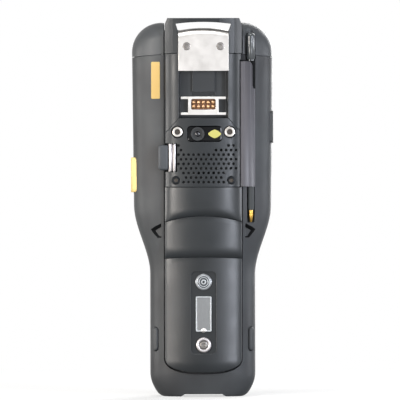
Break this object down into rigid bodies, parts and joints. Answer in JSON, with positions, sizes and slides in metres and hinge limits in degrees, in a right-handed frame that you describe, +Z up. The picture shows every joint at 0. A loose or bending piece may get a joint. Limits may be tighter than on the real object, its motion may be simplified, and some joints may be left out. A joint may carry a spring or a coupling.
{
  "type": "portable barcode data terminal",
  "caption": "Hand-held data terminal standing upright: wide display head, narrow keypad grip, removable battery, strap bar, accessory connector, camera, side latch and stylus.",
  "frame": {"origin": "middle of the box's bottom face, on the surface that the terminal's bottom end stands on", "axes": "+Z up along the terminal, +Y out of the display side, the pictured back faces -Y, +X to the right of someone who looks at the back"},
  "size_m": [0.0882, 0.042, 0.232],
  "materials": {
    "housing_dark": "fine spark texture, satin",
    "housing_grey": "fine spark texture, satin",
    "seal_rubber": "matt",
    "bumper_rubber": "matt moulded elastomer",
    "spine_plastic": "fine spark texture, satin",
    "scan_filter": "polished",
    "module_black": "matt",
    "stainless": "brushed",
    "screw_steel": "turned",
    "dark_screw": "black oxide",
    "insulator_brown": "moulded",
    "gold_contact": "gold plated",
    "window_black": "polished",
    "flash_plastic": "clear, frosted",
    "cover_glass": "polished",
    "display_stack": "plain",
    "cast_frame": "die cast",
    "circuit_board": "solder resist",
    "keypad_plastic": "satin",
    "key_plastic": "satin",
    "enter_plastic": "satin",
    "power_plastic": "satin",
    "button_yellow": "moulded elastomer",
    "button_black": "moulded elastomer",
    "cell_foil": "wrapped cell",
    "battery_black": "satin",
    "turned_grey": "turned",
    "plate_grey": "brushed",
    "stylus_black": "satin"
  },
  "bodies": {
    "terminal": {"front_housing": "housing_dark", "rear_housing": "housing_grey", "housing_seal": "seal_rubber", "left_bumper": "bumper_rubber", "right_bumper": "bumper_rubber", "strap_mount": "spine_plastic", "scan_window": "scan_filter", "scan_engine": "module_black", "strap_bracket": "stainless", "bracket_screws": "screw_steel", "spine_cover": "spine_plastic", "connector_frame": "stainless", "connector_insulator": "insulator_brown", "connector_pins": "gold_contact", "camera_cover": "spine_plastic", "camera_window": "window_black", "camera_module": "module_black", "flash_lens": "flash_plastic", "speaker": "module_black", "upper_cover_screws": "stainless", "lower_cover_screws": "dark_screw", "latch_pin": "screw_steel", "silo_cover": "housing_grey", "display_glass": "cover_glass", "display_module": "display_stack", "display_frame": "cast_frame", "main_board": "circuit_board", "keypad_fascia": "keypad_plastic", "keypad_mat": "seal_rubber", "dock_connector": "gold_contact", "housing_screws": "screw_steel", "battery_terminals": "gold_contact"},
    "battery": {"battery_case": "spine_plastic", "battery_base": "battery_black", "battery_cells": "cell_foil", "battery_stud": "turned_grey", "battery_plate": "plate_grey", "battery_eyelet": "stainless", "eyelet_screw": "screw_steel"},
    "stylus": {"stylus_barrel": "stylus_black", "stylus_tip": "gold_contact"},
    "latch": {"latch_plate": "stainless", "latch_pad": "bumper_rubber"},
    "scan_button_body": {"scan_button": "button_yellow"},
    "side_key_body": {"side_key": "button_black"},
    "left_tab_body": {"left_tab": "housing_grey"},
    "right_tab_body": {"right_tab": "housing_grey"},
    "power_key_body": {"power_key": "power_plastic"},
    "navigation_key_body": {"navigation_key": "key_plastic"},
    "enter_key_body": {"enter_key": "enter_plastic"},
    "key_0_body": {"key_0": "key_plastic"},
    "key_1_body": {"key_1": "key_plastic"},
    "key_2_body": {"key_2": "key_plastic"},
    "key_3_body": {"key_3": "key_plastic"},
    "key_4_body": {"key_4": "key_plastic"},
    "key_5_body": {"key_5": "key_plastic"},
    "key_6_body": {"key_6": "key_plastic"},
    "key_7_body": {"key_7": "key_plastic"},
    "key_8_body": {"key_8": "key_plastic"},
    "key_9_body": {"key_9": "key_plastic"}
  },
  "joints": [
    {"name": "battery_lift", "type": "slide", "parent": "terminal", "child": "battery", "axis": [0, -1, 0], "range_m": [0, 0.03]},
    {"name": "stylus_slide", "type": "slide", "parent": "terminal", "child": "stylus", "axis": [0, 0, 1], "range_m": [0, 0.118]},
    {"name": "latch_swing", "type": "hinge", "parent": "terminal", "child": "latch", "pos_m": [-0.0179, -0.0168, 0.1466], "axis": [0, 0, 1], "range_deg": [0, 35], "stiffness_Nm_per_rad": 0.02},
    {"name": "scan_button_press", "type": "slide", "parent": "terminal", "child": "scan_button_body", "axis": [1, 0, 0], "range_m": [0, 0.001], "stiffness_N_per_m": 400},
    {"name": "side_key_press", "type": "slide", "parent": "terminal", "child": "side_key_body", "axis": [-1, 0, 0], "range_m": [0, 0.0008], "stiffness_N_per_m": 400},
    {"name": "right_tab_press", "type": "slide", "parent": "terminal", "child": "right_tab_body", "axis": [-0.766, 0.6428, 0], "range_m": [0, 0.0015], "stiffness_N_per_m": 400},
    {"name": "left_tab_press", "type": "slide", "parent": "terminal", "child": "left_tab_body", "axis": [0.766, 0.6428, 0], "range_m": [0, 0.0015], "stiffness_N_per_m": 400},
    {"name": "power_key_press", "type": "slide", "parent": "terminal", "child": "power_key_body", "axis": [0, -1, 0], "range_m": [0, 0.001], "stiffness_N_per_m": 400},
    {"name": "navigation_key_press", "type": "slide", "parent": "terminal", "child": "navigation_key_body", "axis": [0, -1, 0], "range_m": [0, 0.001], "stiffness_N_per_m": 400},
    {"name": "enter_key_press", "type": "slide", "parent": "terminal", "child": "enter_key_body", "axis": [0, -1, 0], "range_m": [0, 0.001], "stiffness_N_per_m": 400},
    {"name": "key_0_press", "type": "slide", "parent": "terminal", "child": "key_0_body", "axis": [0, -1, 0], "range_m": [0, 0.001], "stiffness_N_per_m": 400},
    {"name": "key_1_press", "type": "slide", "parent": "terminal", "child": "key_1_body", "axis": [0, -1, 0], "range_m": [0, 0.001], "stiffness_N_per_m": 400},
    {"name": "key_2_press", "type": "slide", "parent": "terminal", "child": "key_2_body", "axis": [0, -1, 0], "range_m": [0, 0.001], "stiffness_N_per_m": 400},
    {"name": "key_3_press", "type": "slide", "parent": "terminal", "child": "key_3_body", "axis": [0, -1, 0], "range_m": [0, 0.001], "stiffness_N_per_m": 400},
    {"name": "key_4_press", "type": "slide", "parent": "terminal", "child": "key_4_body", "axis": [0, -1, 0], "range_m": [0, 0.001], "stiffness_N_per_m": 400},
    {"name": "key_5_press", "type": "slide", "parent": "terminal", "child": "key_5_body", "axis": [0, -1, 0], "range_m": [0, 0.001], "stiffness_N_per_m": 400},
    {"name": "key_6_press", "type": "slide", "parent": "terminal", "child": "key_6_body", "axis": [0, -1, 0], "range_m": [0, 0.001], "stiffness_N_per_m": 400},
    {"name": "key_7_press", "type": "slide", "parent": "terminal", "child": "key_7_body", "axis": [0, -1, 0], "range_m": [0, 0.001], "stiffness_N_per_m": 400},
    {"name": "key_8_press", "type": "slide", "parent": "terminal", "child": "key_8_body", "axis": [0, -1, 0], "range_m": [0, 0.001], "stiffness_N_per_m": 400},
    {"name": "key_9_press", "type": "slide", "parent": "terminal", "child": "key_9_body", "axis": [0, -1, 0], "range_m": [0, 0.001], "stiffness_N_per_m": 400}
  ]
}
